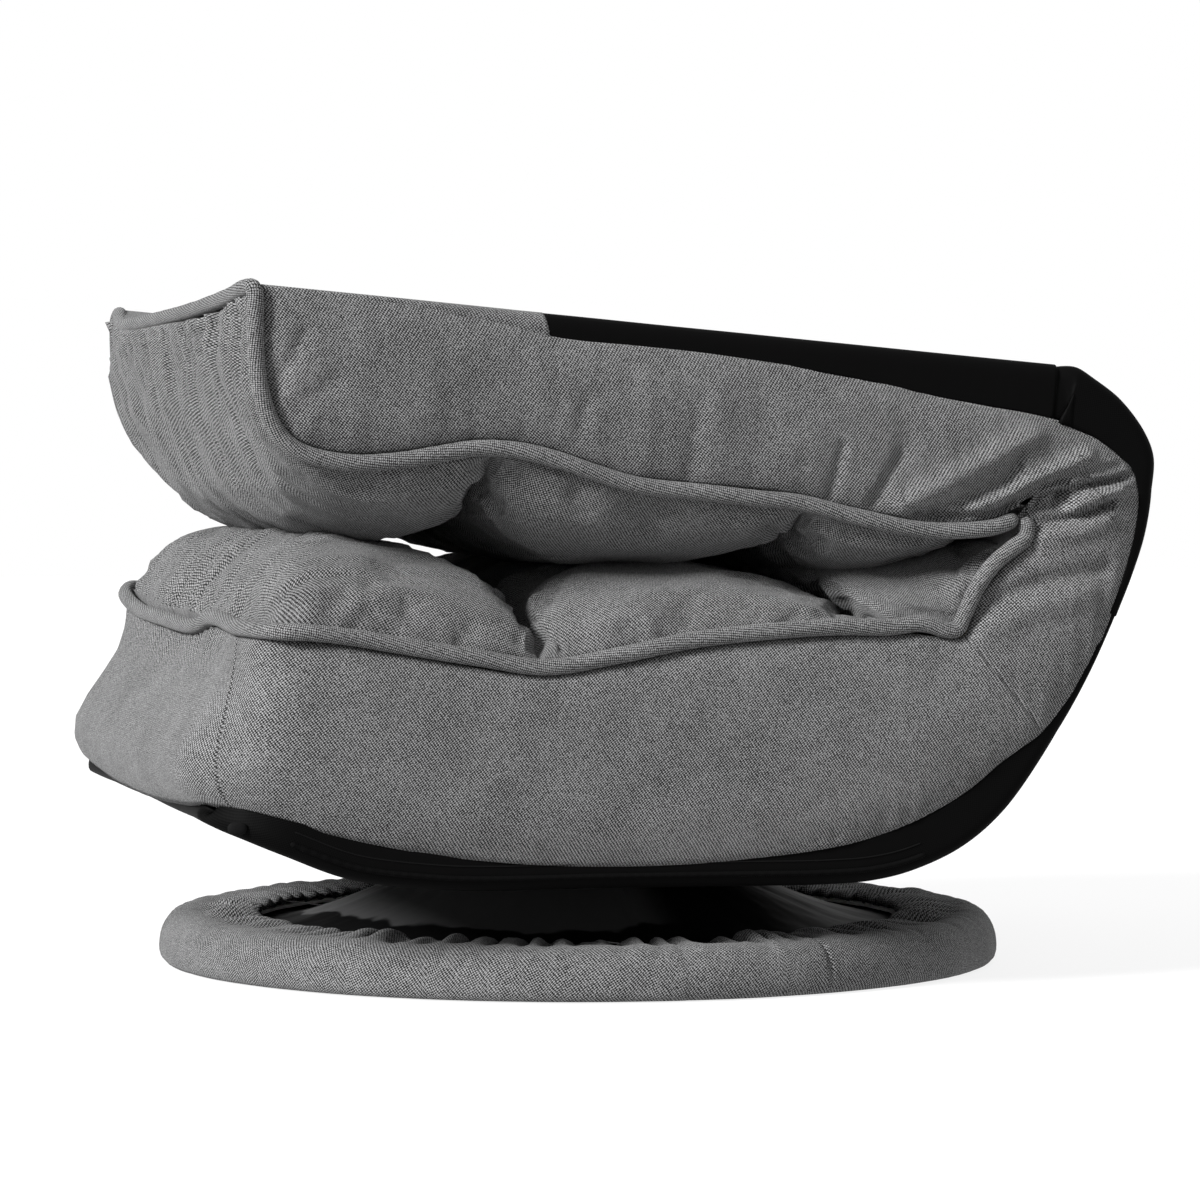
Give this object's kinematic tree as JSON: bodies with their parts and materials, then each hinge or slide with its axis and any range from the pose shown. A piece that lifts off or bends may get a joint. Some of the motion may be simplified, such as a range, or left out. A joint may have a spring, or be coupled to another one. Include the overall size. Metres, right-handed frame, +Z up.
{
  "type": "folding floor chair",
  "caption": "Padded floor chair folded shut: tufted seat and backrest hinged on a tube frame, in piped grey fabric, on a round swivel base ring.",
  "frame": {"origin": "on the floor under the middle of the folded chair, on the swivel axis", "axes": "+Z up, the chair's front towards -Y, the sitter's left towards +X"},
  "size_m": [0.5362, 0.5743, 0.4131],
  "materials": {
    "grey_linen": "heathered grey linen weave",
    "black_lining": "black lining cloth",
    "black_vinyl": "glossy black vinyl",
    "painted_steel": "black powder coat",
    "plain_steel": "zinc plated",
    "foam": "open cell foam",
    "white_nylon": "moulded nylon"
  },
  "bodies": {
    "base": {"base_ring_tube": "painted_steel", "base_foam_sleeve": "foam", "base_cover": "grey_linen", "base_hem_elastic": "white_nylon", "base_bottom_cloth": "black_lining", "base_rail_front": "painted_steel", "base_rail_rear": "painted_steel", "swivel_lower_plate": "plain_steel", "base_screw_1": "plain_steel", "base_screw_2": "plain_steel", "base_screw_3": "plain_steel", "base_screw_4": "plain_steel", "swivel_rivet": "plain_steel", "base_dust_sheet": "black_vinyl"},
    "ball_cage": {"bearing_cage": "white_nylon", "bearing_ball_1": "plain_steel", "bearing_ball_2": "plain_steel", "bearing_ball_3": "plain_steel", "bearing_ball_4": "plain_steel", "bearing_ball_5": "plain_steel", "bearing_ball_6": "plain_steel"},
    "seat": {"swivel_pedestal": "painted_steel", "seat_frame_tube": "painted_steel", "seat_cross_tube_front": "painted_steel", "seat_cross_tube_rear": "painted_steel", "seat_bolt_1": "plain_steel", "seat_bolt_2": "plain_steel", "seat_bolt_3": "plain_steel", "seat_bolt_4": "plain_steel", "seat_sling": "black_lining", "seat_foam": "foam", "seat_pad": "grey_linen", "seat_boxing": "grey_linen", "seat_lining": "black_lining", "seat_piping": "grey_linen", "seat_zip": "black_lining", "seat_zip_slider": "painted_steel", "hinge_seat_plate_left": "painted_steel", "hinge_seat_plate_right": "painted_steel", "hinge_pin_left": "plain_steel", "hinge_pin_right": "plain_steel", "hinge_pawl_spring_left": "plain_steel", "hinge_pawl_spring_right": "plain_steel", "hinge_wrap": "black_lining", "hinge_gusset": "grey_linen"},
    "back": {"back_frame_tube": "painted_steel", "back_cross_tube": "painted_steel", "back_sling": "black_lining", "back_foam": "foam", "back_pad": "grey_linen", "back_lining": "black_lining", "back_head_patch": "grey_linen", "back_side_panel_left": "grey_linen", "back_side_panel_right": "grey_linen", "back_piping": "grey_linen", "hinge_back_arm_left": "plain_steel", "hinge_back_arm_right": "plain_steel"},
    "pawl_left": {"hinge_pawl_left": "plain_steel"},
    "pawl_right": {"hinge_pawl_right": "plain_steel"}
  },
  "joints": [
    {"name": "swivel", "type": "hinge", "parent": "base", "child": "seat", "pos_m": [0, 0, 0.0256], "axis": [0, 0, 1], "continuous": true},
    {"name": "cage_turn", "type": "hinge", "parent": "base", "child": "ball_cage", "pos_m": [0, 0, 0.0256], "axis": [0, 0, 1], "continuous": true},
    {"name": "backrest_fold", "type": "hinge", "parent": "seat", "child": "back", "pos_m": [0, 0.237, 0.318], "axis": [-1, 0, 0], "range_deg": [0, 150], "deforming": ["hinge_wrap", "hinge_gusset"]},
    {"name": "pawl_left_turn", "type": "hinge", "parent": "seat", "child": "pawl_left", "pos_m": [0.216, 0.215, 0.284], "axis": [1, 0, 0], "range_deg": [0, 12]},
    {"name": "pawl_right_turn", "type": "hinge", "parent": "seat", "child": "pawl_right", "pos_m": [-0.216, 0.215, 0.284], "axis": [1, 0, 0], "range_deg": [0, 12]}
  ],
  "couplings": [
    {"joint": "cage_turn", "follows": "swivel", "ratio": 0.5}
  ]
}
